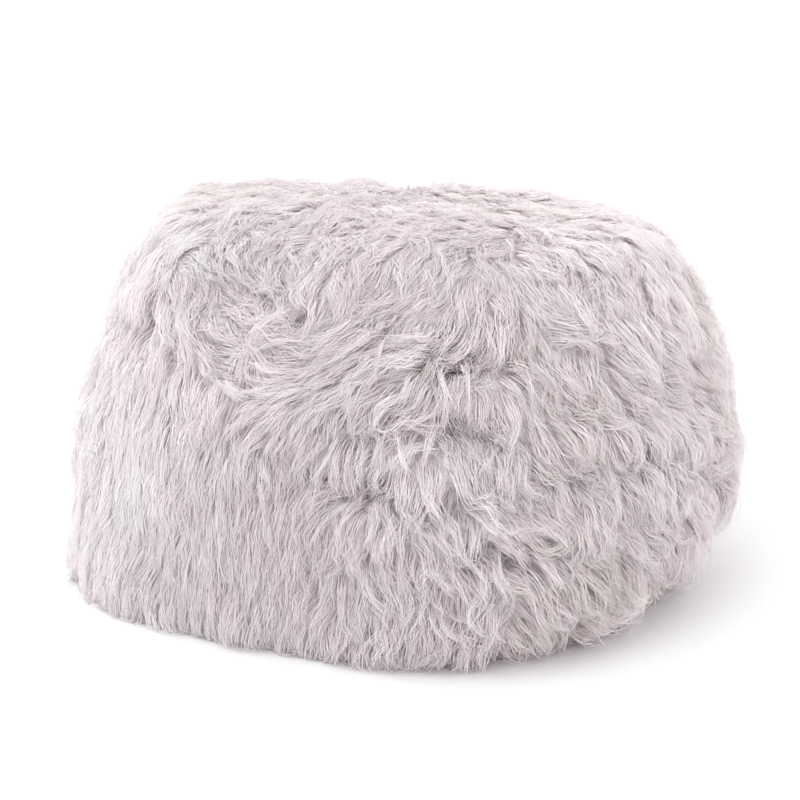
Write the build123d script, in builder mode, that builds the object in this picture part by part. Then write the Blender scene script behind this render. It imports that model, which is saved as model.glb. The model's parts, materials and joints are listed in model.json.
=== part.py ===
"""A round, slouching bean bag chair with a long-pile fur cover, in millimetres.

From the outside in: a fur cover (a top panel, four side panels that turn under, and a two-part woven base
joined by a zip), a plain liner of the same build with its own zip, and the bead filling. Both zips lie in a
channel under the bag. The origin is on the floor at the middle of the bag's box, +Z is up, -Y is the front
and +X the right side.
"""

import math
import os

from build123d import *

os.makedirs("parts", exist_ok=True)

# ---- Overall form ---------------------------------------------------------------------------------------
height = 512.0  # floor to the middle of the top
top_tilt = 3.5  # degrees that the top slopes down to the right

# Height as a share of the whole, then how far the bag reaches left, right, and to the front and back.
# The left side stands nearly upright, and the right side bulges over a narrower foot.
profile = [
    (0.00, 466.0, 406.0, 428.0),
    (0.08, 475.0, 440.0, 442.0),
    (0.40, 466.0, 475.0, 450.0),
    (0.66, 440.0, 458.0, 430.0),
    (0.88, 386.0, 400.0, 370.0),
    (1.00, 216.0, 176.0, 190.0),
]

# ---- Layers ---------------------------------------------------------------------------------------------
fur_depth = 24.0  # knitted backing with the pile combed down on it
layer_gap = 0.5  # keeps cover, liner and filling apart
liner_cloth = 2.0
base_cloth = 2.0
turn_under = 66.0  # how far the side panels turn in under the bag, to meet the base
top_seam_height = 425.0  # the ring seam between the side panels and the top panel
side_panels = 4
first_seam_angle = 45.0

# ---- Zips -----------------------------------------------------------------------------------------------
tape_thick = 0.7
tooth_pitch = 5.0
tooth_thick = 2.7
tooth_reach = 1.3  # how far a tooth passes the centre line
spine_inner, spine_outer = 1.6, 2.8  # the cord along each tape edge that carries the teeth
window_half = 5.0  # half the gap between the two cloth edges, where the teeth show
edge_cloth = 2.0
slider_length, slider_half_width = 14.0, 4.5
wedge_length, wedge_width = 3.0, 1.5  # the post in the slider's nose that parts the teeth
wedge_from_nose = 2.4
lug_half_width, lug_bar = 1.2, 1.1
lug_outer_reach, lug_inner_reach = 5.0, 3.6  # the lug's outside and its window, from the slider's middle
closed_end_room = 34.0  # from a closed slider's middle to its slot's end, so that the pull can swing over
open_end_room = 20.0
blade_thick = 1.3
blade_gap_half = 1.75  # from the tape's middle to each blade's inner face
pull_length, pull_half_width, pull_thick = 27.0, 3.0, 1.1

cover_slot = dict(half_length=270.0, half_width=14.0, floor=0.0, rise=10.0, cloth=base_cloth)
liner_slot = dict(half_length=285.0, half_width=20.0, floor=base_cloth, rise=18.0, cloth=liner_cloth)


def bag_form(inset, floor=0.0):
    """The solid bag, shrunk by inset at its sides and top, from the level floor upwards."""
    with BuildPart() as form:
        for share, left, right, depth in profile:
            with BuildSketch(Plane.XY.offset(share * (height - inset)).rotated((0, share * top_tilt, 0))):
                with Locations(((right - left) / 2, 0)):
                    Ellipse((left + right) / 2 - inset, depth - inset)
        loft()
        if floor > 0:
            with Locations((0, 0, floor)):
                below_cut = (Align.CENTER, Align.CENTER, Align.MAX)
                Box(3 * height, 3 * height, height, align=below_cut, mode=Mode.SUBTRACT)
    return form.part


def save(part, label):
    part.label = label
    export_step(part, f"parts/{label}.step")


def base_plate(gap, floor, cloth):
    """The flat base cloth: the foot's outline, drawn in by the turn-under."""
    left, right, depth = profile[0][1:]
    drawn_in = fur_depth + gap + turn_under
    with BuildPart() as plate:
        with BuildSketch(Plane.XY.offset(floor)):
            with Locations(((right - left) / 2, 0)):
                Ellipse((left + right) / 2 - drawn_in, depth - drawn_in)
        extrude(amount=cloth)
    return plate.part


fur_form = bag_form(0.0)
lining_form = bag_form(fur_depth, floor=base_cloth)
fur_base = base_plate(0.0, 0.0, base_cloth)
liner_base = base_plate(layer_gap, base_cloth, liner_cloth)
liner_outside = bag_form(fur_depth + layer_gap, floor=base_cloth)
liner_inside = bag_form(fur_depth + layer_gap + liner_cloth, floor=base_cloth + liner_cloth)
filling_form = bag_form(fur_depth + 2 * layer_gap + liner_cloth, floor=base_cloth + liner_cloth)


def sector(first, last, low, high):
    """A tall pie slice from one angle to another, in degrees, used to cut a panel from a ring."""
    with BuildPart() as slice_part:
        with BuildSketch(Plane.XY.offset(low)):
            with BuildLine():
                start = PolarLine((0, 0), 2 * height, first)
                finish = PolarLine((0, 0), 2 * height, last)
                far = 4 * height
                middle = math.radians((first + last) / 2)
                Polyline(start @ 1, (far * math.cos(middle), far * math.sin(middle)), finish @ 1)
            make_face()
        extrude(amount=high - low)
    return slice_part.part


def side_panel(skin, number, count, low, high):
    """One of count equal side panels of a skin, between two levels."""
    step = 360.0 / count
    first = first_seam_angle + step * number
    with BuildPart() as panel:
        add(skin)
        add(sector(first, first + step, low, high), mode=Mode.INTERSECT)
    return panel.part


def level_band(skin, low, high):
    """What a skin holds between two levels."""
    with BuildPart() as band:
        add(skin)
        with Locations((0, 0, low)):
            Box(
                4 * height, 4 * height, high - low,
                align=(Align.CENTER, Align.CENTER, Align.MIN), mode=Mode.INTERSECT,
            )
    return band.part


def skin_between(outer, inner, base):
    """The skin left when an inner form and the base cloth are taken out of an outer form."""
    with BuildPart() as skin:
        add(outer)
        add(inner, mode=Mode.SUBTRACT)
        add(base, mode=Mode.SUBTRACT)
    return skin.part


# ---- Fur cover ------------------------------------------------------------------------------------------
fur_skin = skin_between(fur_form, lining_form, fur_base)
for i in range(side_panels):
    save(side_panel(fur_skin, i, side_panels, 0, top_seam_height), f"fur_side_panel_{i + 1}")
save(level_band(fur_skin, top_seam_height, 2 * height), "fur_top_panel")


def base_half(plate, slot, side):
    """Half of a cloth base, on the -Y (side -1) or +Y (side +1) of the zip, its zip edge folded up and in."""
    cloth, floor = slot["cloth"], slot["floor"]
    wall, long, top = slot["half_width"], slot["half_length"], floor + slot["rise"]
    with BuildPart() as half:
        add(plate)
        with Locations((0, 0, floor)):
            Box(
                4 * height, 2 * height, cloth,
                align=(Align.CENTER, Align.MIN if side > 0 else Align.MAX, Align.MIN), mode=Mode.INTERSECT,
            )
            Box(2 * long, 2 * wall, cloth, align=(Align.CENTER, Align.CENTER, Align.MIN), mode=Mode.SUBTRACT)
        with Locations((0, side * wall, floor)):
            inner = Align.MIN if side > 0 else Align.MAX
            Box(2 * long, edge_cloth, top - floor, align=(Align.CENTER, inner, Align.MIN))
        with Locations((0, side * window_half, top)):
            Box(
                2 * long, wall + edge_cloth - window_half, edge_cloth,
                align=(Align.CENTER, Align.MIN if side > 0 else Align.MAX, Align.MIN),
            )
        for end in (-1, 1):
            with Locations((end * long, 0, floor)):
                Box(
                    edge_cloth, wall + edge_cloth, top + edge_cloth - floor,
                    align=(
                        Align.MIN if end > 0 else Align.MAX,
                        Align.MIN if side > 0 else Align.MAX,
                        Align.MIN,
                    ),
                )
    return half.part


save(base_half(fur_base, cover_slot, -1), "base_panel_front")
save(base_half(fur_base, cover_slot, 1), "base_panel_back")

# ---- Liner ----------------------------------------------------------------------------------------------
liner_skin = skin_between(liner_outside, liner_inside, liner_base)
for i in range(side_panels):
    save(side_panel(liner_skin, i, side_panels, 0, top_seam_height), f"liner_side_panel_{i + 1}")
save(level_band(liner_skin, top_seam_height, 2 * height), "liner_top_panel")
save(base_half(liner_base, liner_slot, -1), "liner_base_front")
save(base_half(liner_base, liner_slot, 1), "liner_base_back")

# ---- Bead filling ---------------------------------------------------------------------------------------
zip_room = 3.0  # the filling stays this far from the liner's zip
channel_top = liner_slot["floor"] + liner_slot["rise"] + edge_cloth + blade_gap_half + blade_thick + zip_room
with BuildPart() as bead_filling:
    add(filling_form)
    Box(
        2 * (liner_slot["half_length"] + edge_cloth + zip_room),
        2 * (liner_slot["half_width"] + edge_cloth + zip_room),
        2 * channel_top,
        mode=Mode.SUBTRACT,
    )
save(bead_filling.part, "bead_filling")


# ---- Zips -----------------------------------------------------------------------------------------------
def tooth_row(side, half_length, middle):
    """One row of teeth on its cord. The two rows are half a pitch apart, so that they mesh."""
    count = int((2 * half_length - open_end_room - closed_end_room) / tooth_pitch)
    first = -half_length + open_end_room + (tooth_pitch / 2 if side > 0 else 0)
    with BuildPart() as row:
        with BuildSketch(Plane.XY.offset(middle - tooth_thick / 2)):
            with Locations((first, side * spine_inner)):
                Rectangle(
                    count * tooth_pitch, spine_outer - spine_inner,
                    align=(Align.MIN, Align.MIN if side > 0 else Align.MAX),
                )
            tips = [(first + (i + 0.5) * tooth_pitch, side * spine_inner) for i in range(count)]
            with Locations(*tips):
                Rectangle(
                    tooth_pitch * 0.42, tooth_reach + spine_inner,
                    align=(Align.CENTER, Align.MAX if side > 0 else Align.MIN),
                )
        extrude(amount=tooth_thick)
    return row.part


def zip_tape(side, slot, low):
    """The woven tape sewn to one folded edge."""
    with BuildPart() as tape:
        with Locations((0, side * spine_outer, low)):
            Box(
                2 * slot["half_length"] - 6, slot["half_width"] - spine_outer, tape_thick,
                align=(Align.CENTER, Align.MIN if side > 0 else Align.MAX, Align.MIN),
            )
    return tape.part


def zip_slider(x, middle, lug_drop):
    """Two blades joined by a wedge at the nose, with a lug under the outer blade and the throat to -X."""
    outer_face = middle - blade_gap_half - blade_thick
    with BuildPart() as slider:
        for level in (outer_face, middle + blade_gap_half):
            with BuildSketch(Plane.XY.offset(level)):
                with Locations((x, 0)):
                    RectangleRounded(slider_length, 2 * slider_half_width, 2.0)
            extrude(amount=blade_thick)
        with Locations((x + slider_length / 2 - wedge_from_nose, 0, middle)):
            Box(wedge_length, wedge_width, 2 * blade_gap_half)
        for side in (-1, 1):
            for part_of_wall in (-1, 1):
                edge_middle = middle + part_of_wall * (blade_gap_half + tape_thick) / 2
                with Locations((x, side * (slider_half_width - 0.5), edge_middle)):
                    Box(slider_length - 4, 1.0, blade_gap_half - tape_thick)
        with BuildSketch(Plane.XZ.offset(-lug_half_width)):
            with BuildLine():
                bar_top = outer_face - lug_drop + lug_bar
                Polyline(
                    (x - lug_outer_reach, outer_face),
                    (x - lug_outer_reach, outer_face - lug_drop),
                    (x + lug_outer_reach, outer_face - lug_drop),
                    (x + lug_outer_reach, outer_face),
                    (x + lug_inner_reach, outer_face),
                    (x + lug_inner_reach, bar_top),
                    (x - lug_inner_reach, bar_top),
                    (x - lug_inner_reach, outer_face),
                    close=True,
                )
            make_face()
        extrude(amount=2 * lug_half_width)
    return slider.part


def zip_stops(slot, low):
    """The two end stops clamped on the tapes past the closed end."""
    with BuildPart() as stops:
        x = slot["half_length"] - closed_end_room + slider_length / 2 + 4
        with Locations((x, -spine_outer - 1, low), (x, spine_outer + 1, low)):
            Box(3.0, 1.8, 2.0, align=(Align.CENTER, Align.CENTER, Align.MIN))
    return stops.part


def start_stop(slot, middle):
    """The block that holds the two rows together at the open end."""
    with BuildPart() as stop:
        with Locations((-slot["half_length"] + open_end_room - 4, 0, middle)):
            Box(4.0, 2 * spine_outer - 0.2, 3.2)
    return stop.part


def save_zip(name, slot, lug_drop):
    """Writes a closed zip, and returns its slider's place along X and the level of its tapes."""
    low = slot["floor"] + slot["rise"] + edge_cloth
    middle = low + tape_thick / 2
    slider_x = slot["half_length"] - closed_end_room
    for side, word in ((-1, "front"), (1, "back")):
        save(zip_tape(side, slot, low), f"{name}_zip_tape_{word}")
        save(tooth_row(side, slot["half_length"], middle), f"{name}_zip_teeth_{word}")
    save(zip_slider(slider_x, middle, lug_drop), f"{name}_zip_slider")
    save(zip_stops(slot, low + tape_thick), f"{name}_zip_end_stops")
    save(start_stop(slot, middle), f"{name}_zip_start_stop")
    return slider_x, middle


cover_lug_drop, liner_lug_drop = 3.2, 2.4
cover_x, cover_middle = save_zip("cover", cover_slot, cover_lug_drop)
save_zip("liner", liner_slot, liner_lug_drop)

# The cover's pull hangs in the slider's lug and turns about a bar across it. The liner's slider has no pull.
pin_radius = 0.8
pin_level = cover_middle - blade_gap_half - blade_thick - (cover_lug_drop - lug_bar) / 2
arm_inner = 1.6  # half the gap between the pull's two arms
arm_length, plate_start = 8.0, 7.0  # the arms run a little into the plate
with BuildPart() as cover_zip_pull:
    with Locations(Location((cover_x, 0, pin_level), (90, 0, 0))):
        Cylinder(pin_radius, 2 * pull_half_width)
    with BuildSketch(Plane.XY.offset(pin_level - pull_thick / 2)):
        for side in (-1, 1):
            with Locations((cover_x + pin_radius, side * arm_inner)):
                Rectangle(
                    arm_length, pull_half_width - arm_inner,
                    align=(Align.MAX, Align.MIN if side > 0 else Align.MAX),
                )
        with Locations((cover_x + pin_radius - plate_start, 0)):
            Rectangle(pull_length - plate_start, 2 * pull_half_width, align=(Align.MAX, Align.CENTER))
    extrude(amount=pull_thick)
    with Locations((cover_x - pull_length + 5.0, 0, pin_level)):
        Cylinder(1.4, 3.0, mode=Mode.SUBTRACT)
    fillet(cover_zip_pull.edges().filter_by(Axis.Z).group_by(Axis.X)[0], 2.0)
save(cover_zip_pull.part, "cover_zip_pull")

# ---- Care label, blank, sewn to the inside of the zip's edge ---------------------------------------------
label_length, label_width, label_thick = 42.0, 9.0, 0.6
with BuildPart() as care_label:
    label_low = cover_slot["rise"] + edge_cloth + tape_thick
    with Locations((-80.0, 6.0, label_low)):
        Box(label_length, label_width, label_thick, align=(Align.CENTER, Align.MIN, Align.MIN))
save(care_label.part, "care_label")
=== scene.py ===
"""Looks for the round, slouching bean bag chair: its fur cover, cloths, zips and beads, and a plain studio.

The cover is a stuffed skin, sculpted and settled by cloth simulation, with a combed pile of separate hairs.
Each hair belongs to a small lock, and each lock to a tuft that sets its lean, length and tone.
All lengths are in metres, in the CAD frame: +Z up, -Y the front, +X the right.
"""

import json
import math

import bpy
import numpy as np
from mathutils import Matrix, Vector
from mathutils.bvhtree import BVHTree
from mathutils.kdtree import KDTree


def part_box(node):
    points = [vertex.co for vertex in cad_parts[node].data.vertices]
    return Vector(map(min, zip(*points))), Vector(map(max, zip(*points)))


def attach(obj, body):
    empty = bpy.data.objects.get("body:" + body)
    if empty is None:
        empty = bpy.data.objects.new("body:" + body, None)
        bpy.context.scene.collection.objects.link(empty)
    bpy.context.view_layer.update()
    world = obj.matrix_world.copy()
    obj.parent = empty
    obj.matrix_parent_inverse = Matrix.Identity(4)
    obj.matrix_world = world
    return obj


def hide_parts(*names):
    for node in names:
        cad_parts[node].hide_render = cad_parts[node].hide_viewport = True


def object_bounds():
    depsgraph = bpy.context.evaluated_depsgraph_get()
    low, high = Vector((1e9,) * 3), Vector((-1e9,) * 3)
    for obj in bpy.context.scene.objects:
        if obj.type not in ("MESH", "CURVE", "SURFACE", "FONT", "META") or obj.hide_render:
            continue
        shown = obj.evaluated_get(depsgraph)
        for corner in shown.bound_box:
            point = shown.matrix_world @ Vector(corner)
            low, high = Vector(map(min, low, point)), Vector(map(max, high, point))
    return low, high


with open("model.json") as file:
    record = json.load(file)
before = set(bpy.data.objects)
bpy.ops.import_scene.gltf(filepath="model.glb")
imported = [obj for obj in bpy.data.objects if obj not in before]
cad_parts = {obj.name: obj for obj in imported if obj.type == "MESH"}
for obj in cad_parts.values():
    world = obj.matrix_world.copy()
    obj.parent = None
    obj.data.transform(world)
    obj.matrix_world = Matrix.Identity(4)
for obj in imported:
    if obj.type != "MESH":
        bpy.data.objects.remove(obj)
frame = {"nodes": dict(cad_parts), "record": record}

cad_low, cad_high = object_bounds()
WIDTH, DEPTH, HEIGHT = cad_high - cad_low
SIDE_PANELS = ["fur_side_panel_1", "fur_side_panel_2", "fur_side_panel_3", "fur_side_panel_4"]
TOP_PANEL = "fur_top_panel"
TOP_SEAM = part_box(TOP_PANEL)[0].z
FIRST_SEAM_DEG = 45.0

# ---- Bag form -------------------------------------------------------------------------------------------
PILE_RISE = 0.024  # how far the combed pile stands off the skin
TOP_TILT_DEG = 3.5  # the top slopes down to the right
SKIN_ROWS, SKIN_COLUMNS = 84, 180
FUR_CLOTH, LINER_CLOTH = 0.0025, 0.0012  # thicknesses
LINER_INSET, FILLING_INSET = 0.004, 0.007  # from the skin's outside
UNDER_ROWS = 4  # rows that turn in under the bag
UNDER_LEVELS = {"fur": 0.0012, "liner": 0.0042}  # at the base cloth's edge
LINER_RIM = 0.0066  # the liner's lowest level outside that
FILLING_RIM = LINER_RIM + 0.0016
FILLING_RISE = 0.0018  # of the lump's flat floor over the CAD filling's

# How far past the zip channel the lump's floor starts to come down, and where it is down.
PAST_CHANNEL_ENDS, PAST_CHANNEL_SIDES = (0.008, 0.024), (0.012, 0.028)

# Height as a share of the top's, then the reach left, right, and front and back, as shares of half the box.
PROFILE = [
    (0.00, 0.992, 0.765, 0.905),
    (0.03, 0.998, 0.810, 0.940),
    (0.10, 0.992, 0.895, 0.975),
    (0.25, 0.970, 0.985, 1.000),
    (0.42, 0.940, 0.995, 1.000),
    (0.60, 0.870, 0.968, 0.970),
    (0.76, 0.806, 0.905, 0.915),
    (0.88, 0.750, 0.845, 0.835),
    (0.96, 0.665, 0.745, 0.710),
    (1.00, 0.490, 0.550, 0.510),
    (1.01, 0.260, 0.280, 0.260),
    (1.01, 0.000, 0.000, 0.000),
]
FRONT_LEFT_FLAT = 0.15  # how much the plan's front left is drawn in at the floor
FLAT_FROM_DEG, FLAT_SPAN_DEG = 180.0, 115.0

# Hollows and swellings of the top: place in plan, radius, and height above the smooth form.
TOP_MOUNDS = [
    ((-0.15, -0.28), 0.105, -0.038),
    ((0.01, -0.30), 0.080, 0.018),
    ((0.10, -0.16), 0.070, 0.012),
    ((-0.27, 0.12), 0.120, 0.003),
    ((0.27, 0.05), 0.150, 0.003),
    ((0.05, 0.20), 0.110, -0.004),
]

# The ridge to the right of the seat hollow, down which the pile runs to the left. Start and run are in plan.
RIDGE_START, RIDGE_RUN, RIDGE_REACH = np.array([0.12, -0.18]), np.array([-0.25, -0.24]), 0.055

# The seat hollow in the front left shoulder, into which the pile turns from all sides: its middle and reach,
# and how much the pile there runs round it and into it.
HOLLOW, HOLLOW_REACH = np.array([-0.145, -0.330, 0.412]), 0.095
HOLLOW_ROUND, HOLLOW_IN, HOLLOW_WEIGHT = 0.45, 0.85, 1.4

# Where the pile of the top parts, to run outwards.
PARTING = np.array([0.03, 0.24, 0.0])

# Where the pile high on the front is combed sideways: middle and reach in x, then the lean to the right.
FRONT_SWEEPS = [(0.01, 0.10, -1.7), (-0.27, 0.09, 0.4)]

# Creases of the side, as seen from in front: from and to in x and z, half-width, depth.
FRONT_CREASES = [
    ((-0.115, 0.235), (-0.010, 0.228), 0.017, 0.024),
    ((0.020, 0.200), (0.095, 0.232), 0.014, 0.026),
    ((-0.100, 0.292), (0.010, 0.312), 0.014, 0.016),
    ((0.045, 0.385), (0.145, 0.372), 0.016, 0.024),
    ((0.060, 0.312), (0.115, 0.296), 0.015, 0.022),
    ((0.195, 0.245), (0.330, 0.235), 0.016, 0.026),
    ((0.345, 0.215), (0.400, 0.185), 0.015, 0.020),
    ((0.060, 0.160), (0.200, 0.150), 0.016, 0.020),
    ((-0.330, 0.375), (-0.235, 0.350), 0.018, 0.014),
]
BACK_CREASES = [
    ((-0.230, 0.300), (-0.070, 0.270), 0.018, 0.018),
    ((0.090, 0.340), (0.230, 0.355), 0.016, 0.016),
    ((0.060, 0.170), (0.220, 0.190), 0.018, 0.018),
    ((-0.330, 0.150), (-0.230, 0.170), 0.016, 0.014),
]

# ---- Pile -----------------------------------------------------------------------------------------------
TUFT_SPACING = 0.042
TUFT_GATHER = 0.42  # how far the locks of a tuft draw together towards their tips
LOCK_SPACING = 0.0135
HAIR_LENGTH, HAIR_RADIUS = 0.068, 0.00044
GUARD_HAIRS, GUARD_POINTS = 88000, 7
DOWN_HAIRS, DOWN_POINTS = 48000, 5
DOWN_SHARE, DOWN_THICKER = 0.55, 1.25  # length and thickness of the down, against the guard hairs'
STRAY_SHARE = 0.10  # of the hairs, which leave their lock
CURL_PITCH = 0.046  # along the hair, for one turn of its curl
PRESSED_HAIRS = 16000
PRESSED_LEVEL = 0.0005  # of the hairs that lie between the bag and the floor
PRESSED_WAVES = 22  # how often their lean swings to and fro round the bag
FLOOR_CLEAR = 0.003
PILE_SEED = 7
MOST_FACES = 190000  # the most faces in one piece of hair; per piece, so that no piece is thinned when it is exported


def smoothstep(low, high, x):
    t = np.clip((x - low) / (high - low), 0, 1)
    return t * t * (3 - 2 * t)


def unit(v):
    return v / np.maximum(np.linalg.norm(v, axis=-1, keepdims=True), 1e-9)


def along_skin(v, normals):
    """v with its part along the normals taken out, at unit length."""
    return unit(v - normals * np.sum(v * normals, axis=-1, keepdims=True))


def ripple(points, wavelength, seed, waves=7):
    """Smooth noise of a few crossing sine waves, about -1 to 1."""
    rng = np.random.default_rng(seed)
    directions = unit(rng.normal(size=(waves, 3))) * rng.uniform(0.7, 1.5, (waves, 1))
    phases = rng.uniform(0, 2 * math.pi, waves)
    return np.sin(points @ directions.T * (2 * math.pi / wavelength) + phases).sum(axis=-1) / math.sqrt(waves)


# ---- Skin -----------------------------------------------------------------------------------------------
def profile_rows(count):
    """The profile as count rows, on a smooth curve through its points (Catmull-Rom)."""
    knots = np.array(PROFILE)
    knots = np.vstack([2 * knots[0] - knots[1], knots, 2 * knots[-1] - knots[-2]])
    at = np.linspace(0, len(PROFILE) - 1, count)
    i = np.minimum(at.astype(int), len(PROFILE) - 2)
    t = (at - i)[:, None]
    a, b, c, d = knots[i], knots[i + 1], knots[i + 2], knots[i + 3]
    return 0.5 * (2 * b + (c - a) * t + (2 * a - 5 * b + 4 * c - d) * t**2 + (3 * b - a - 3 * c + d) * t**3)


def skin_grid():
    """Points of the smooth skin, as rows from the floor to the crown and columns round it."""
    rows = profile_rows(SKIN_ROWS)
    angle = np.linspace(0, 2 * math.pi, SKIN_COLUMNS, endpoint=False)
    share, left, right, deep = (rows[:, i][:, None] for i in range(4))
    half_width, half_depth = WIDTH / 2 - PILE_RISE, DEPTH / 2 - PILE_RISE
    sideways = np.cos(angle)[None]
    middle = (right - left) / 2 * half_width
    x = middle + (left + right) / 2 * sideways * half_width
    y = deep * np.sin(angle)[None] * half_depth
    into_flat = np.clip((np.degrees(angle) - FLAT_FROM_DEG) / FLAT_SPAN_DEG, 0, 1)[None]
    y = y * (1 - FRONT_LEFT_FLAT * np.sin(math.pi * into_flat) ** 2 * (1 - smoothstep(0.1, 0.8, share)))
    tilt = math.radians(TOP_TILT_DEG)
    crown = HEIGHT - PILE_RISE - 0.5 * half_width * math.sin(tilt)
    z = FLOOR_CLEAR + share * (crown - FLOOR_CLEAR) - x * np.sin(tilt * np.clip(share, 0, 1))
    return np.stack([x, y, np.maximum(z, FLOOR_CLEAR)], axis=-1)


def grid_normals(grid):
    around = np.roll(grid, -1, axis=1) - np.roll(grid, 1, axis=1)
    upward = np.gradient(grid, axis=0)
    normals = unit(np.cross(around, upward))
    normals[-2:] = normals[-3].mean(axis=0)
    return unit(normals)


def crease(grid, normals, creases, facing):
    """How far each point sinks into one side's creases. facing is -1 for the front, +1 for the back."""
    sink = np.zeros(grid.shape[:2])
    seen = smoothstep(0.0, 0.35, facing * normals[..., 1]) * (0.6 + 0.4 * ripple(grid, 0.10, 13))
    flat = grid[..., [0, 2]]
    for start, end, half_width, depth in creases:
        start, end = np.array(start), np.array(end)
        run = end - start
        along = np.clip(((flat - start) @ run) / (run @ run), 0, 1)
        off = flat - (start + along[..., None] * run)
        gap = np.linalg.norm(off, axis=-1)
        valley = np.exp(-((gap / half_width) ** 2))
        roll = np.exp(-(((gap - 2.4 * half_width) / (1.3 * half_width)) ** 2))
        sink += seen * depth * (valley - np.where(off[..., 1] > 0, 0.55, 0.25) * roll)
    return sink


def sculpted_skin():
    """The smooth skin with its slow unevenness, the top's mounds and the creases of the side."""
    grid = skin_grid()
    normals = grid_normals(grid)
    rise = 0.006 * ripple(grid, 0.34, 11) + 0.004 * ripple(grid, 0.15, 12)
    on_top = smoothstep(0.10, 0.55, normals[..., 2])
    for centre, radius, height in TOP_MOUNDS:
        gap = np.linalg.norm(grid[..., :2] - np.array(centre), axis=-1)
        rise = rise + on_top * height * np.exp(-((gap / radius) ** 2))
    rise = rise - crease(grid, normals, FRONT_CREASES, -1) - crease(grid, normals, BACK_CREASES, 1)
    held = smoothstep(0.0, 0.06, grid[..., 2])
    moved = grid + normals * (rise * held)[..., None]
    moved[-1] = moved[-1].mean(axis=0)
    return moved


def grid_faces(rows, columns):
    """Quads between the rows, from bottom to top."""
    faces = []
    for r in range(rows - 1):
        for c in range(columns):
            d = (c + 1) % columns
            faces.append((r * columns + c, r * columns + d, (r + 1) * columns + d, (r + 1) * columns + c))
    return faces


def settle(grid, pressure=4.0, frames=20, most=0.010):
    """Blows the skin up by cloth simulation, by most at each point, held at its floor ring and its seams."""
    mesh = bpy.data.meshes.new("skin_settling")
    mesh.from_pydata(grid.reshape(-1, 3), [], grid_faces(*grid.shape[:2]))
    skin = bpy.data.objects.new("skin_settling", mesh)
    bpy.context.scene.collection.objects.link(skin)
    held = skin.vertex_groups.new(name="held")
    angle = np.degrees(np.arctan2(grid[..., 1], grid[..., 0])) - FIRST_SEAM_DEG
    on_seam = (np.abs((angle + 45) % 90 - 45) < 0.6 * 360 / grid.shape[1]) & (grid[..., 2] < TOP_SEAM)
    seam_row = np.argmin(np.abs(grid[..., 2].mean(axis=1) - TOP_SEAM))
    on_seam[[0, 1, 2, seam_row, -1]] = True
    held.add(np.flatnonzero(on_seam).tolist(), 1.0, "REPLACE")
    cloth = skin.modifiers.new("settle", "CLOTH")
    cloth.settings.quality = 5
    cloth.settings.mass = 0.3
    cloth.settings.tension_stiffness = cloth.settings.compression_stiffness = 12
    cloth.settings.bending_stiffness = 0.6
    cloth.settings.vertex_group_mass = "held"
    cloth.settings.use_pressure = True
    cloth.settings.uniform_pressure_force = pressure
    cloth.settings.effector_weights.gravity = 0.0
    cloth.collision_settings.use_collision = False
    scene = bpy.context.scene
    for number in range(1, frames + 1):
        scene.frame_set(number)
    shown = skin.evaluated_get(bpy.context.evaluated_depsgraph_get()).to_mesh()
    after = np.empty(grid.size)
    shown.vertices.foreach_get("co", after)
    scene.frame_set(1)
    bpy.data.objects.remove(skin)
    step = after.reshape(grid.shape) - grid
    length = np.linalg.norm(step, axis=-1, keepdims=True)
    return grid + step * np.minimum(1.0, most / np.maximum(length, 1e-9))


def panel_of(points):
    """Which fur panel each point lies on: 0 to 3 for the side panels, 4 for the top."""
    angle = np.degrees(np.arctan2(points[..., 1], points[..., 0])) - FIRST_SEAM_DEG
    side = (np.floor(angle / 90) % 4).astype(int)
    return np.where(points[..., 2] >= TOP_SEAM, 4, side)


def add_object(name, mesh, material):
    piece = bpy.data.objects.new(name, mesh)
    bpy.context.scene.collection.objects.link(piece)
    mesh.materials.append(material)
    return piece


def turned_under(grid, base_cloth, level):
    """The grid with rows added that turn in under the bag, to the edge of its base cloth."""
    low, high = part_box(f"{base_cloth}_front")[0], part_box(f"{base_cloth}_back")[1]
    angle = np.linspace(0, 2 * math.pi, SKIN_COLUMNS, endpoint=False)
    x = (low.x + high.x) / 2 + (high.x - low.x) / 2 * np.cos(angle)
    edge = np.stack([x, high.y * np.sin(angle), level + 0 * x], axis=-1)
    share = np.linspace(0, 1, UNDER_ROWS, endpoint=False)[:, None, None]
    return np.concatenate([edge * (1 - share) + grid[0] * share, grid])


def smooth_mesh(name, points, faces):
    mesh = bpy.data.meshes.new(name)
    mesh.from_pydata(points, [], faces)
    mesh.polygons.foreach_set("use_smooth", [True] * len(mesh.polygons))
    return mesh


def stand_for(piece, cad_node):
    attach(piece, "bag")
    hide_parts(cad_node)


def make_panels(grid, cloth, thickness, material):
    """The sheets of one layer, cut from the skin along its seams. They stand for that layer's CAD panels."""
    points = grid.reshape(-1, 3)
    faces = np.array(grid_faces(*grid.shape[:2]))
    owner = panel_of(points[faces].mean(axis=1))
    for number, panel in enumerate([*SIDE_PANELS, TOP_PANEL]):
        cad_node = panel.replace("fur", cloth)
        name = cad_node.replace("panel", "cloth")
        used, renumbered = np.unique(faces[owner == number], return_inverse=True)
        mesh = smooth_mesh(name, points[used], renumbered.reshape(-1, 4).tolist())
        piece = add_object(name, mesh, material)
        piece.modifiers.new("thickness", "SOLIDIFY").thickness = thickness
        stand_for(piece, cad_node)


def inset(grid, depth, floor):
    """The skin moved inwards. Near the floor it moves level, so that its lowest ring stays on its plane."""
    normals = grid_normals(grid)
    level = unit(normals * np.array([1.0, 1.0, 0.0]) + np.array([0.0, 0.0, 1e-6]))
    low = 1 - smoothstep(0.004, 0.04, grid[..., 2])[..., None]
    moved = grid - depth * unit(level * low + normals * (1 - low))
    moved[..., 2] = np.maximum(moved[..., 2], floor)
    return moved


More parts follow.
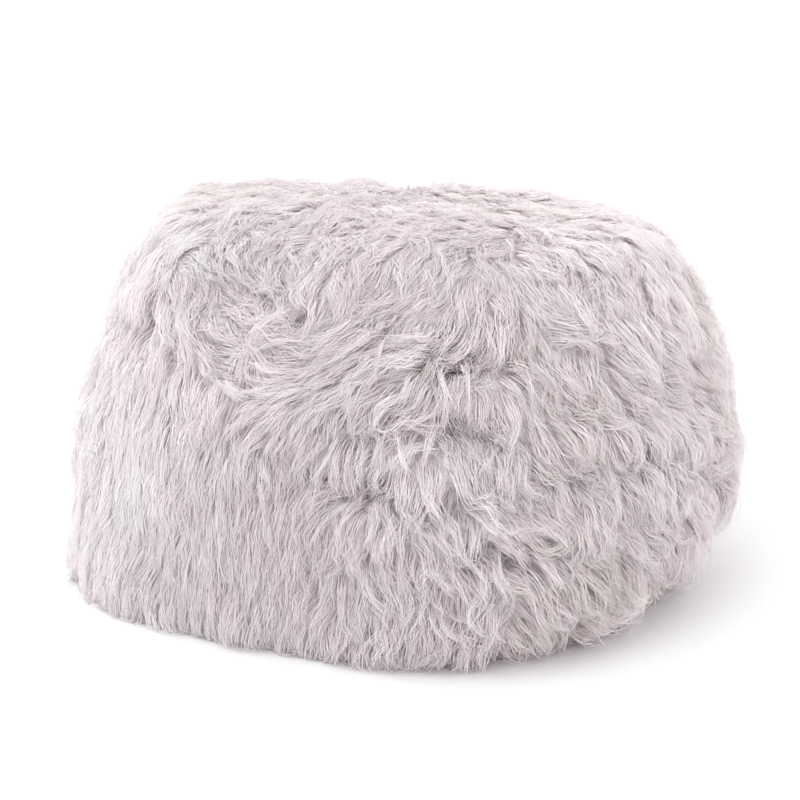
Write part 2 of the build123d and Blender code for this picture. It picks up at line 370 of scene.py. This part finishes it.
def make_filling(grid, material):
    """The beads as one slumped lump, flat below but for the hollow over the liner's zip channel."""
    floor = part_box("bead_filling")[0].z + FILLING_RISE
    side = inset(grid, FILLING_INSET, FILLING_RIM)
    channel_low, channel_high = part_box("liner_zip_tape_front")[0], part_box("liner_zip_slider")[1]
    shrink = np.linspace(0, 1, 50)[:, None, None]
    base = side[0][None] * shrink
    end, edge = abs(channel_low.x), abs(channel_low.y)
    off_channel = np.maximum(
        smoothstep(end + PAST_CHANNEL_ENDS[0], end + PAST_CHANNEL_ENDS[1], np.abs(base[..., 0])),
        smoothstep(edge + PAST_CHANNEL_SIDES[0], edge + PAST_CHANNEL_SIDES[1], np.abs(base[..., 1])),
    )
    base[..., 2] = floor + (channel_high.z + 0.004 - floor) * (1 - off_channel)
    base[..., 2] += (FILLING_RIM - floor) * smoothstep(0.7, 1.0, shrink[..., 0])
    grid = np.concatenate([base[:-1], side])
    mesh = smooth_mesh("bead_lump", grid.reshape(-1, 3), grid_faces(*grid.shape[:2]))
    piece = add_object("bead_lump", mesh, material)
    piece.modifiers.new("poles", "WELD").merge_threshold = 0.0002
    stand_for(piece, "bead_filling")


# ---- Pile -----------------------------------------------------------------------------------------------
class Skin:
    """The settled skin, for scattering hair roots on it and for keeping hairs on it."""

    def __init__(self, grid):
        points = grid.reshape(-1, 3)
        quads = np.array(grid_faces(*grid.shape[:2]))
        self.triangles = points[np.vstack([quads[:, [0, 1, 2]], quads[:, [0, 2, 3]]])]
        cross = np.cross(
            self.triangles[:, 1] - self.triangles[:, 0], self.triangles[:, 2] - self.triangles[:, 0]
        )
        area = np.linalg.norm(cross, axis=1) / 2
        self.area = area.sum()
        self.chance = area / self.area
        self.tree = BVHTree.FromPolygons(points.tolist(), quads.tolist())

    def scatter(self, count, rng):
        picked = self.triangles[rng.choice(len(self.triangles), count, p=self.chance)]
        a, b = rng.random((2, count, 1))
        a, b = np.where(a + b > 1, 1 - a, a), np.where(a + b > 1, 1 - b, b)
        return picked[:, 0] + a * (picked[:, 1] - picked[:, 0]) + b * (picked[:, 2] - picked[:, 0])

    def nearest(self, points):
        """The nearest places on the skin, and its normals there."""
        found = [self.tree.find_nearest(p)[:2] for p in points.tolist()]
        return np.array([f[0] for f in found]), np.array([f[1] for f in found])


def nearest_of(points, centres):
    """The number of the nearest centre to each point."""
    tree = KDTree(len(centres))
    for i, centre in enumerate(centres.tolist()):
        tree.insert(centre, i)
    tree.balance()
    return np.array([tree.find(p)[1] for p in points.tolist()])


def turned(v, axis, angle):
    """v turned about a perpendicular axis."""
    return v * np.cos(angle)[:, None] + np.cross(axis, v) * np.sin(angle)[:, None]


def flow(points, normals):
    """The way that the pile is combed: down the sides, outwards over the top, and into the seat hollow."""
    x, y, z = points.T
    down = np.tile([0.0, 0.0, -1.0], (len(points), 1))
    sweep = 0.80 * smoothstep(-0.05, 0.30, x) - 0.10 * smoothstep(0.1, 0.45, -x)
    in_front = smoothstep(0.10, -0.10, y)
    down[:, 0] += in_front * sweep - (1 - in_front) * 0.2 * np.sin(3 * x / WIDTH)
    high_front = smoothstep(0.31, 0.37, z) * in_front
    for centre, reach, lean in FRONT_SWEEPS:
        down[:, 0] += lean * high_front * np.exp(-(((x - centre) / reach) ** 2))
    outward = (points - PARTING) * [1, 1, 0]
    on_top = unit(outward) * smoothstep(0.0, 0.15, np.linalg.norm(outward, axis=-1))[:, None]
    on_top[:, 1] -= 0.10
    along = np.clip((points[:, :2] - RIDGE_START) @ RIDGE_RUN / (RIDGE_RUN @ RIDGE_RUN), 0, 1)[:, None]
    off = np.linalg.norm(points[:, :2] - RIDGE_START - along * RIDGE_RUN, axis=-1)
    near = np.exp(-((off / RIDGE_REACH) ** 2))[:, None]
    on_top = on_top * (1 - near) + np.append(RIDGE_RUN, 0.0) / np.linalg.norm(RIDGE_RUN) * near
    share = smoothstep(0.30, 0.80, normals[:, 2])[:, None]
    way = unit(down) * (1 - share) + on_top * share
    from_hollow = points - HOLLOW
    reach = np.exp(-((np.linalg.norm(from_hollow, axis=-1) / HOLLOW_REACH) ** 2))[:, None]
    swirl = HOLLOW_ROUND * unit(np.cross(from_hollow, normals)) - HOLLOW_IN * unit(from_hollow)
    return along_skin(way * (1 - reach) + HOLLOW_WEIGHT * swirl * reach, normals)


def comb(skin, roots, heading, length, steps):
    """Walks from each root along the skin. Returns the places passed, and the normals there."""
    places, ways = [roots], [skin.nearest(roots)[1]]
    for _ in range(steps):
        aim = places[-1] + heading * (length / steps)[:, None]
        short = np.maximum(FLOOR_CLEAR - aim[:, 2], 0)
        outward = unit(np.stack([aim[:, 0], aim[:, 1], 0 * short], axis=-1))
        on_floor = aim + outward * (0.5 * short)[:, None]
        on_floor[:, 2] = FLOOR_CLEAR
        place, normal = skin.nearest(aim)
        low = (short > 0)[:, None]
        places.append(np.where(low, on_floor, place))
        ways.append(np.where(low, ways[-1], normal))
        heading = unit(0.75 * along_skin(heading, ways[-1]) + 0.25 * flow(places[-1], ways[-1]))
    return np.stack(places, axis=1), np.stack(ways, axis=1)


def make_tufts(skin, rng):
    """Tufts: each a place with its own turn away from the flow, its length, lift and tone.

    The pile is calm low on the left, where the photograph's lies straight, and wilder on the right. Its tone
    is painted cooler and paler on the left front, as painted light for the washed-out colour of the lit left
    side.
    """
    count = int(skin.area / TUFT_SPACING**2)
    places = skin.scatter(count, rng)
    in_front = smoothstep(0.16, -0.16, places[:, 1])
    to_left = smoothstep(-0.05, 0.25, -places[:, 0])
    low_left = to_left * smoothstep(0.46, 0.34, places[:, 2]) * in_front
    on_top = smoothstep(0.38, 0.48, places[:, 2])
    to_right = smoothstep(-0.15, 0.05, places[:, 0]) * in_front
    wild = 1.0 - 0.6 * low_left + 0.35 * to_right * (1 - on_top)
    turning = 1.0 - 0.6 * low_left + 0.15 * on_top - 0.25 * to_right
    # the left-front term paints the tone cooler and paler there: painted light, the washed-out colour of the
    # lit left side
    tone = 0.5 + 0.25 * (to_left * in_front) + 0.20 * ripple(places, 0.3, 22)
    return {
        "place": places,
        "calm": np.maximum(low_left, 0.5 * on_top),
        "wild": wild,
        "hook": rng.normal(0, 0.008, count),
        "turn": turning * (0.55 * ripple(places, 0.22, 21) + rng.normal(0, 0.40, count)),
        "length": rng.uniform(0.80, 1.18, count),
        "lift": rng.uniform(0.55, 1.25, count) * (1 - 0.3 * on_top),
        "tone": np.clip(tone + rng.normal(0, 0.15, count), 0, 1),
        "phase": rng.uniform(0, 2 * math.pi, count),
    }


def make_locks(skin, tufts, rng):
    """Locks: small bunches of hairs that meet at their tips, each with the path that its hairs follow."""
    count = int(skin.area / LOCK_SPACING**2)
    places = skin.scatter(count, rng)
    normals = skin.nearest(places)[1]
    tuft = nearest_of(places, tufts["place"])
    turn = tufts["turn"][tuft] + rng.normal(0, 0.20, count)
    heading = turned(flow(places, normals), normals, turn)
    length = HAIR_LENGTH * tufts["length"][tuft] * rng.uniform(0.85, 1.12, count)
    path, ways = comb(skin, places, heading, length, GUARD_POINTS - 1)
    off_tuft = (places - tufts["place"][tuft]) * (TUFT_GATHER * tufts["wild"][tuft])[:, None]
    path = path - off_tuft[:, None] * smoothstep(0.1, 1.0, np.linspace(0, 1, GUARD_POINTS))[:, None]
    return {
        "place": places,
        "path": path,
        "ways": ways,
        "calm": tufts["calm"][tuft],
        "length": length,
        "lift": PILE_RISE * tufts["lift"][tuft] * rng.uniform(0.62, 1.30, count),
        "tone": np.clip(tufts["tone"][tuft] + rng.normal(0, 0.12, count) * tufts["wild"][tuft], 0, 1),
        "phase": tufts["phase"][tuft] + rng.normal(0, 0.8, count),
        "curl": rng.uniform(0.0016, 0.0056, count) * tufts["wild"][tuft],
        "hook": tufts["wild"][tuft] * (0.012 * rng.normal(0, 1, count) + tufts["hook"][tuft]),
    }


def hair_paths(skin, locks, count, points, share, rng):
    """count hairs that follow their locks for a share of the locks' length."""
    roots = skin.scatter(count, rng)
    lock = nearest_of(roots, locks["place"])
    ends = share * rng.uniform(0.72, 1.06, count)
    calm = locks["calm"][lock]
    stray = rng.random(count) < STRAY_SHARE
    at = np.linspace(0, 1, points)[None] * ends[:, None]
    knots = at * (locks["path"].shape[1] - 1)
    i = np.minimum(knots.astype(int), locks["path"].shape[1] - 2)
    t = (knots - i)[..., None]
    picked = lock[:, None]
    middle = locks["path"][picked, i] * (1 - t) + locks["path"][picked, i + 1] * t
    normal = unit(locks["ways"][picked, i] * (1 - t) + locks["ways"][picked, i + 1] * t)
    offset = (roots - locks["place"][lock])[:, None]
    together = np.where(stray, 0.1, rng.uniform(0.70, 0.98, count) * (1 - 0.8 * calm))
    together = smoothstep(0.05, 0.95, at) * together[:, None]
    spread = offset * (1 - together[..., None])
    lift = locks["lift"][lock] * np.where(stray, 1.35, 1.0) * rng.uniform(0.7, 1.2, count)
    lift = lift * (1 - 0.25 * calm)
    lean = (1 - (1 - at) ** 3) * (1 - 0.42 * at**2)
    tangent = unit(np.gradient(middle, axis=1))
    across = unit(np.cross(normal, tangent))
    wave = 2 * math.pi * locks["length"][lock][:, None] / CURL_PITCH * at + locks["phase"][lock][:, None]
    wave = wave + rng.normal(0, 0.45, count)[:, None]
    size = (locks["curl"][lock] * rng.uniform(0.6, 1.4, count))[:, None] * smoothstep(0, 0.5, at)
    drift = (rng.normal(0, 0.0045, count) * np.where(stray, 2.6, 1.0))[:, None] * at**2
    paths = middle + spread + normal * (lift[:, None] * lean + 0.6 * size * np.cos(wave))[..., None]
    hook = locks["hook"][lock][:, None] * at**3
    paths = paths + across * (size * np.sin(wave) + drift + hook)[..., None]
    level = paths[..., 2]
    on_floor = FLOOR_CLEAR - 0.35 * FLOOR_CLEAR * np.tanh(FLOOR_CLEAR - level)
    paths[..., 2] = np.where(level < FLOOR_CLEAR, on_floor, level)
    tone = np.clip(locks["tone"][lock] + rng.normal(0, 0.07, count), 0.01, 0.99)
    return paths, normal, tone


def pressed_paths(band, count, points, rng):
    """count hairs pressed flat under the turned-in band, which run inwards to the base cloth's edge."""
    inner, outer = band[0], band[UNDER_ROWS]
    column = rng.uniform(0, SKIN_COLUMNS, count)
    start = rng.uniform(0.06, 1.0, count)
    width = np.linalg.norm((outer - inner)[column.astype(int)], axis=-1)
    end = np.maximum(start - HAIR_LENGTH * rng.uniform(0.5, 1.0, count) / width, 0.0)
    at = np.linspace(0, 1, points)[None]
    share = start[:, None] * (1 - at) + end[:, None] * at
    lean = rng.normal(0, 0.5, count) + 1.2 * np.sin(column / SKIN_COLUMNS * 2 * PRESSED_WAVES * math.pi)
    column = column[:, None] + lean[:, None] * at + 0.12 * np.sin(9 * at + lean[:, None])
    low, part = np.floor(column).astype(int), (column % 1)[..., None]
    near, far = low % SKIN_COLUMNS, (low + 1) % SKIN_COLUMNS
    inner = inner[near] * (1 - part) + inner[far] * part
    outer = outer[near] * (1 - part) + outer[far] * part
    paths = inner * (1 - share[..., None]) + outer * share[..., None]
    paths[..., 2] = PRESSED_LEVEL + (paths[..., 2] - PRESSED_LEVEL) * (1 - at) ** 3
    normals = np.zeros_like(paths)
    normals[..., 2] = -1
    return paths, normals, np.clip(rng.normal(0.5, 0.16, count), 0.01, 0.99)


def hair_mesh(name, paths, normals, tone, radius):
    """One mesh of closed three-sided hairs that taper to their tips. UV is (tone, root to tip)."""
    count, points = paths.shape[:2]
    tangent = unit(np.gradient(paths, axis=1))
    side = unit(np.cross(tangent, normals))
    up = np.cross(side, tangent)
    along = np.linspace(0, 1, points)
    thick = radius[:, None] * (1 - along[None] ** 2.2) * (0.75 + 0.25 * smoothstep(0, 0.2, along))[None]
    corner = np.radians([90, 210, 330])
    ring = side[:, :-1, None] * np.cos(corner)[:, None] + up[:, :-1, None] * np.sin(corner)[:, None]
    rings = paths[:, :-1, None] + ring * thick[:, :-1, None, None]
    vertices = np.concatenate([rings.reshape(count, -1, 3), paths[:, -1:]], axis=1)
    each = vertices.shape[1]
    triangles = [(2, 1, 0)]
    for r in range(points - 2):
        for c in range(3):
            a, b = 3 * r + c, 3 * r + (c + 1) % 3
            triangles += [(a, b, b + 3), (a, b + 3, a + 3)]
    last = 3 * (points - 2)
    triangles += [(last + c, last + (c + 1) % 3, each - 1) for c in range(3)]
    triangles = np.array(triangles)
    corners = (triangles.reshape(1, -1) + each * np.arange(count)[:, None]).ravel()
    ring_share = np.append(np.repeat(along[:-1], 3), 1.0)
    mesh = bpy.data.meshes.new(name)
    mesh.vertices.add(count * each)
    mesh.vertices.foreach_set("co", vertices.ravel())
    mesh.loops.add(len(corners))
    mesh.loops.foreach_set("vertex_index", corners)
    mesh.polygons.add(len(corners) // 3)
    mesh.polygons.foreach_set("loop_start", np.arange(0, len(corners), 3))
    mesh.polygons.foreach_set("use_smooth", np.ones(len(corners) // 3, bool))
    mesh.update(calc_edges=True)
    layer = mesh.uv_layers.new(name="OFBake")
    uv = np.stack([np.repeat(tone, each), np.tile(ring_share, count)], axis=-1)
    layer.data.foreach_set("uv", uv[corners].ravel())
    mesh.validate()
    return mesh


def make_pile(grid, band, material):
    """The pile on the skin, and the pile pressed under the bag, in a mesh or more for each panel and kind."""
    skin = Skin(grid)
    rng = np.random.default_rng(PILE_SEED)
    tufts = make_tufts(skin, rng)
    locks = make_locks(skin, tufts, rng)
    kinds = [
        ("hair", hair_paths(skin, locks, GUARD_HAIRS, GUARD_POINTS, 1.0, rng), 1.0),
        ("down", hair_paths(skin, locks, DOWN_HAIRS, DOWN_POINTS, DOWN_SHARE, rng), DOWN_THICKER),
        ("pressed", pressed_paths(band, PRESSED_HAIRS, DOWN_POINTS, rng), 1.0),
    ]
    for word, (paths, normals, tone), thicker in kinds:
        count, points = paths.shape[:2]
        thick = HAIR_RADIUS * thicker * rng.uniform(0.7, 1.25, count)
        owner = panel_of(paths[:, 0])
        faces_each = 6 * (points - 2) + 4
        for number, cad_node in enumerate([*SIDE_PANELS, TOP_PANEL]):
            mine = np.flatnonzero(owner == number)
            if not len(mine):
                continue
            parts = math.ceil(len(mine) * faces_each / MOST_FACES)
            for part, some in enumerate(np.array_split(mine, parts)):
                name = f"{cad_node.replace('_panel', '')}_{word}_{part + 1}"
                mesh = hair_mesh(name, paths[some], normals[some], tone[some], thick[some])
                stand_for(add_object(name, mesh, material), cad_node)


# ---- Materials ------------------------------------------------------------------------------------------
STITCH_PITCH, STITCH_HALF, STITCH_INSET, STITCH_RISE = 0.0045, 0.0005, 0.007, 0.0004
STITCH_FROM = -0.45  # thread shows where the stitch's wave is above this
THREAD_COLOUR = (0.72, 0.68, 0.69)


def new_material(name, roughness=0.6):
    material = bpy.data.materials.new(name)
    material.use_nodes = True
    shader = material.node_tree.nodes["Principled BSDF"]
    shader.inputs["Roughness"].default_value = roughness
    return material, material.node_tree, shader


def node(tree, kind, inputs=(), **settings):
    made = tree.nodes.new(kind)
    for key, value in settings.items():
        setattr(made, key, value)
    for key, value in dict(inputs).items():
        if isinstance(value, bpy.types.NodeSocket):
            tree.links.new(value, made.inputs[key])
        else:
            made.inputs[key].default_value = value
    return made


def ramp(tree, factor, stops):
    """A colour ramp of (place, (r, g, b)) stops."""
    made = node(tree, "ShaderNodeValToRGB", {"Fac": factor})
    elements = made.color_ramp.elements
    while len(elements) < len(stops):
        elements.new(0.5)
    for element, (place, colour) in zip(elements, stops, strict=True):
        element.position = place
        element.color = (*colour, 1)
    return made.outputs["Color"]


def mixed(tree, kind, factor, a, b):
    made = node(tree, "ShaderNodeMix", data_type="RGBA", blend_type=kind)
    for index, value in ((0, factor), (6, a), (7, b)):
        if isinstance(value, bpy.types.NodeSocket):
            tree.links.new(value, made.inputs[index])
        else:
            made.inputs[index].default_value = value if index == 0 else (*value, 1)
    return made.outputs[2]


def bump(tree, shader, height, distance, strength=1.0):
    made = node(tree, "ShaderNodeBump", {"Height": height, "Distance": distance, "Strength": strength})
    tree.links.new(made.outputs["Normal"], shader.inputs["Normal"])


def hair_material():
    """Pale blush-grey hair: tone runs from warm beige to cool white, and roots are painted darker than tips
    as shade deep in the pile.
    """
    material, tree, shader = new_material("long_pile_hair", roughness=0.55)
    uv = node(tree, "ShaderNodeUVMap", uv_map="OFBake")
    place = node(tree, "ShaderNodeSeparateXYZ", {"Vector": uv.outputs["UV"]})
    tone = ramp(tree, place.outputs["X"], [
        (0.0, (0.92, 0.865, 0.85)),
        (0.3, (0.95, 0.88, 0.895)),
        (0.6, (0.965, 0.890, 0.918)),
        (1.0, (0.96, 0.925, 0.937)),
    ])
    # depth: roots darker than tips, painted shade for the shade deep in the pile between the hairs
    depth = ramp(tree, place.outputs["Y"], [
        (0.0, (0.86, 0.83, 0.84)),
        (0.3, (0.98, 0.97, 0.97)),
        (0.7, (1, 1, 1)),
    ])
    colour = mixed(tree, "MULTIPLY", 1.0, tone, depth)
    tree.links.new(colour, shader.inputs["Base Color"])
    shader.inputs["Specular IOR Level"].default_value = 0.12
    shader.inputs["Sheen Weight"].default_value = 0.1
    shader.inputs["Sheen Roughness"].default_value = 0.4
    return material


def backing_material():
    """Knitted backing seen between the roots: darker, with short matted down on it."""
    material, tree, shader = new_material("knitted_backing", roughness=0.9)
    place = node(tree, "ShaderNodeTexCoord").outputs["Object"]
    matted = {"Vector": place, "Scale": 180.0, "Detail": 6.0, "Roughness": 0.7}
    down = node(tree, "ShaderNodeTexNoise", matted)
    colour = ramp(tree, down.outputs["Fac"], [(0.3, (0.76, 0.70, 0.715)), (0.7, (0.87, 0.82, 0.835))])
    tree.links.new(colour, shader.inputs["Base Color"])
    bump(tree, shader, down.outputs["Fac"], 0.004)
    return material


def woven_material(name, colour, pitch, roughness=0.85):
    """Plain weave: two crossing sets of threads with slubs, in a slightly uneven dye; the gaps between the
    threads are painted darker as shade.
    """
    material, tree, shader = new_material(name, roughness)
    place = node(tree, "ShaderNodeTexCoord").outputs["Object"]
    bands = []
    for direction in ("X", "Y"):
        wave = node(
            tree, "ShaderNodeTexWave",
            {"Vector": place, "Scale": 0.314 / pitch, "Distortion": 0.6, "Detail": 1.0, "Detail Scale": 2.0},
            bands_direction=direction,
        )
        bands.append(wave.outputs["Fac"])
    weave = node(tree, "ShaderNodeMath", {0: bands[0], 1: bands[1]}, operation="MULTIPLY").outputs[0]
    dye = node(tree, "ShaderNodeTexNoise", {"Vector": place, "Scale": 14.0, "Detail": 4.0}).outputs["Fac"]
    # dark: painted shade for the gaps between the threads, where the weave is low
    light, dark = tuple(colour), tuple(0.80 * c for c in colour)
    tree.links.new(
        mixed(tree, "MULTIPLY", 0.5, ramp(tree, weave, [(0.0, dark), (0.6, light)]),
              ramp(tree, dye, [(0.3, (0.86, 0.85, 0.84)), (0.7, (1, 1, 1))])),
        shader.inputs["Base Color"],
    )
    bump(tree, shader, weave, 0.3 * pitch)
    return material


def stitched_base_material(colour):
    """The cover's base cloth: plain weave, topstitched round its edge and along each side of the zip."""
    material = woven_material("base_cloth", colour, 0.0011)
    tree = material.node_tree
    shader = tree.nodes["Principled BSDF"]
    low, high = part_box("base_panel_front")[0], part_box("base_panel_back")[1]
    zip_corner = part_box("cover_zip_tape_back")[1]
    place = node(tree, "ShaderNodeTexCoord").outputs["Object"]
    axes = node(tree, "ShaderNodeSeparateXYZ", {"Vector": place}).outputs

    def sum_of(operation, a, b=0.0):
        return node(tree, "ShaderNodeMath", {0: a, 1: b}, operation=operation).outputs[0]

    def near(value, target, reach):
        return sum_of("LESS_THAN", sum_of("ABSOLUTE", sum_of("SUBTRACT", value, target)), reach)

    across = sum_of("DIVIDE", sum_of("SUBTRACT", axes["X"], (low.x + high.x) / 2), (high.x - low.x) / 2)
    along = sum_of("DIVIDE", axes["Y"], high.y)
    ring = sum_of("SQRT", sum_of("ADD", sum_of("POWER", across, 2.0), sum_of("POWER", along, 2.0)))
    turn = sum_of("MULTIPLY", sum_of("ARCTAN2", along, across), 2 * math.pi * high.y / STITCH_PITCH / 2)
    round_edge = sum_of("MULTIPLY", near(ring, 1 - STITCH_INSET / high.y, STITCH_HALF / high.y),
                        sum_of("GREATER_THAN", sum_of("SINE", turn), STITCH_FROM))
    zip_line = near(sum_of("ABSOLUTE", axes["Y"]), zip_corner.y + STITCH_INSET, STITCH_HALF)
    beside_zip = sum_of("MULTIPLY", zip_line,
                        sum_of("LESS_THAN", sum_of("ABSOLUTE", axes["X"]), zip_corner.x + STITCH_INSET))
    wave = sum_of("SINE", sum_of("MULTIPLY", axes["X"], 2 * math.pi / STITCH_PITCH))
    dash = sum_of("GREATER_THAN", wave, STITCH_FROM)
    stitched = sum_of("MAXIMUM", round_edge, sum_of("MULTIPLY", beside_zip, dash))
    cloth = shader.inputs["Base Color"].links[0].from_socket
    thread = mixed(tree, "MIX", stitched, (0, 0, 0), THREAD_COLOUR)
    tree.links.new(cloth, thread.node.inputs[6])
    tree.links.new(thread, shader.inputs["Base Color"])
    weave = shader.inputs["Normal"].links[0].from_socket
    raised = node(tree, "ShaderNodeBump", {"Height": stitched, "Distance": STITCH_RISE, "Normal": weave})
    tree.links.new(raised.outputs["Normal"], shader.inputs["Normal"])
    return material


def moulded_material(name, colour, roughness=0.42):
    """Moulded nylon or enamel: faint mottling and a fine orange-peel surface."""
    material, tree, shader = new_material(name, roughness)
    place = node(tree, "ShaderNodeTexCoord").outputs["Object"]
    mottle = node(tree, "ShaderNodeTexNoise", {"Vector": place, "Scale": 260.0, "Detail": 3.0}).outputs["Fac"]
    dark = tuple(0.88 * c for c in colour)
    tree.links.new(ramp(tree, mottle, [(0.3, dark), (0.7, tuple(colour))]), shader.inputs["Base Color"])
    gloss = {"Value": mottle, "To Min": roughness - 0.08, "To Max": roughness + 0.1}
    tree.links.new(node(tree, "ShaderNodeMapRange", gloss).outputs["Result"], shader.inputs["Roughness"])
    bump(tree, shader, mottle, 0.0001)
    return material


def plated_material(name, colour):
    """Satin nickel plate, brushed along its length, worn paler here and there."""
    material, tree, shader = new_material(name, 0.3)
    shader.inputs["Metallic"].default_value = 1.0
    place = node(tree, "ShaderNodeTexCoord").outputs["Object"]
    stretched = node(tree, "ShaderNodeMapping", {"Vector": place, "Scale": (60.0, 900.0, 900.0)})
    grain = {"Vector": stretched.outputs["Vector"], "Scale": 1.0, "Detail": 3.0}
    brushed = node(tree, "ShaderNodeTexNoise", grain).outputs["Fac"]
    dark = tuple(0.82 * c for c in colour)
    tree.links.new(ramp(tree, brushed, [(0.3, dark), (0.7, tuple(colour))]), shader.inputs["Base Color"])
    gloss = {"Value": brushed, "To Min": 0.22, "To Max": 0.42}
    tree.links.new(node(tree, "ShaderNodeMapRange", gloss).outputs["Result"], shader.inputs["Roughness"])
    bump(tree, shader, brushed, 0.00004)
    return material


def satin_material(name, colour):
    """Satin ribbon: fine lengthwise floats, painted darker between them as shade."""
    material, tree, shader = new_material(name, 0.38)
    place = node(tree, "ShaderNodeTexCoord").outputs["Object"]
    floats = node(
        tree, "ShaderNodeTexWave", {"Vector": place, "Scale": 1200.0, "Distortion": 1.5}, bands_direction="Y"
    ).outputs["Fac"]
    # dark: painted shade in the lines between the floats
    dark = tuple(0.9 * c for c in colour)
    tree.links.new(ramp(tree, floats, [(0.2, dark), (0.8, tuple(colour))]), shader.inputs["Base Color"])
    bump(tree, shader, floats, 0.00005)
    return material


def bead_material(name, colour):
    """Packed expanded polystyrene beads, about 4 mm across, showing as rounded cells that are painted darker
    towards their edges as shade between the beads.
    """
    material, tree, shader = new_material(name, 0.7)
    place = node(tree, "ShaderNodeTexCoord").outputs["Object"]
    packed = node(tree, "ShaderNodeTexVoronoi", {"Vector": place, "Scale": 250.0}, feature="F1")
    cells = packed.outputs["Distance"]
    # painted shade: each bead is darker towards its edge, where it meets its neighbours
    shade = ramp(tree, cells, [(0.25, tuple(colour)), (0.75, tuple(0.62 * c for c in colour))])
    tree.links.new(shade, shader.inputs["Base Color"])
    dome = node(tree, "ShaderNodeMath", {0: 1.0, 1: cells}, operation="SUBTRACT").outputs[0]
    bump(tree, shader, dome, 0.002)
    return material


def dress_cad_nodes():
    """Gives every carried-over CAD node the finish of its record slot."""
    colours = {m["slot"]: tuple(m["base_color"][:3]) for m in frame["record"]["materials"]}
    finishes = {
        "base_cloth": stitched_base_material(colours["base_cloth"]),
        "liner_cloth": woven_material("liner_cloth", colours["liner_cloth"], 0.0008),
        "foam_beads": bead_material("foam_beads", colours["foam_beads"]),
        "cover_zip_tape": woven_material("cover_zip_tape", colours["cover_zip_tape"], 0.0007),
        "cover_zip_nylon": moulded_material("cover_zip_nylon", colours["cover_zip_nylon"]),
        "slider_metal": plated_material("slider_metal", colours["slider_metal"]),
        "liner_zip_tape": woven_material("liner_zip_tape", colours["liner_zip_tape"], 0.0007),
        "liner_zip_nylon": moulded_material("liner_zip_nylon", colours["liner_zip_nylon"]),
        "liner_slider_metal": moulded_material("liner_slider_metal", colours["liner_slider_metal"], 0.3),
        "label_satin": satin_material("label_satin", colours["label_satin"]),
    }
    for part in frame["record"]["subparts"]:
        finish = finishes.get(part["material_slot"])
        if finish:
            mesh = frame["nodes"][part["node"]].data
            mesh.materials.clear()
            mesh.materials.append(finish)
    return finishes


# ---- Studio ---------------------------------------------------------------------------------------------
FLOOR_COLOUR = (0.93, 0.925, 0.925, 1)
SKY_LEFT, SKY_RIGHT = 1.35, 1.16  # the white surroundings are a little dimmer towards the right
KEY_POWER, KEY_SIZE, KEY_PLACE = 22, 2.0, (-0.9, -1.2, 2.5)
KEY_COLOUR = (0.88, 1.0, 0.98)
BOUNCES = 10
LENS, ELEVATION_DEG, DISTANCE, AIM = 70.0, 15.0, 2.21, Vector((0.004, 0.0, 0.235))


def make_floor():
    bpy.ops.mesh.primitive_plane_add(size=40)
    floor = bpy.context.object
    floor.name = "studio_floor"
    material, _, shader = new_material("studio_floor", 0.8)
    shader.inputs["Base Color"].default_value = FLOOR_COLOUR
    floor.data.materials.append(material)


def aim_at(thing, place, target):
    """Puts a lamp or camera at place, turned towards target."""
    thing.location = place
    thing.rotation_mode = "QUATERNION"
    thing.rotation_quaternion = (Vector(target) - Vector(place)).to_track_quat("-Z", "Y")
    bpy.context.scene.collection.objects.link(thing)


def make_light():
    """One large soft lamp, high on the left in front."""
    lamp = bpy.data.lights.new("key", "AREA")
    lamp.energy = KEY_POWER
    lamp.color = KEY_COLOUR
    lamp.size = KEY_SIZE
    aim_at(bpy.data.objects.new("key", lamp), KEY_PLACE, (0, 0, HEIGHT / 2))


def make_studio():
    make_floor()
    world = bpy.data.worlds.new("studio")
    world.use_nodes = True
    background = world.node_tree.nodes["Background"]
    background.inputs["Color"].default_value = (1, 1, 1, 1)
    toward = node(world.node_tree, "ShaderNodeTexCoord").outputs["Generated"]
    to_right = node(world.node_tree, "ShaderNodeSeparateXYZ", {"Vector": toward}).outputs["X"]
    spread = {"Value": to_right, "From Min": -1.0, "From Max": 1.0, "To Min": SKY_LEFT, "To Max": SKY_RIGHT}
    strength = node(world.node_tree, "ShaderNodeMapRange", spread).outputs["Result"]
    world.node_tree.links.new(strength, background.inputs["Strength"])
    scene = bpy.context.scene
    scene.world = world
    scene.view_settings.view_transform = "Standard"
    scene.cycles.max_bounces = scene.cycles.diffuse_bounces = BOUNCES
    make_light()


def make_camera():
    """Looks along +Y from a little above, as the photograph does."""
    elevation = math.radians(ELEVATION_DEG)
    camera_data = bpy.data.cameras.new("camera")
    camera_data.lens = LENS
    camera = bpy.data.objects.new("camera", camera_data)
    aim_at(camera, AIM + Vector((0, -math.cos(elevation), math.sin(elevation))) * DISTANCE, AIM)
    bpy.context.scene.camera = camera


make_camera()
make_studio()
finishes = dress_cad_nodes()
skin_points = sculpted_skin()
skin_points = settle(skin_points)
fur_points = turned_under(skin_points, "base_panel", UNDER_LEVELS["fur"])
make_panels(fur_points, "fur", FUR_CLOTH, backing_material())
liner_points = turned_under(inset(skin_points, LINER_INSET, LINER_RIM), "liner_base", UNDER_LEVELS["liner"])
make_panels(liner_points, "liner", LINER_CLOTH, finishes["liner_cloth"])
make_filling(skin_points, finishes["foam_beads"])
make_pile(skin_points, fur_points, hair_material())
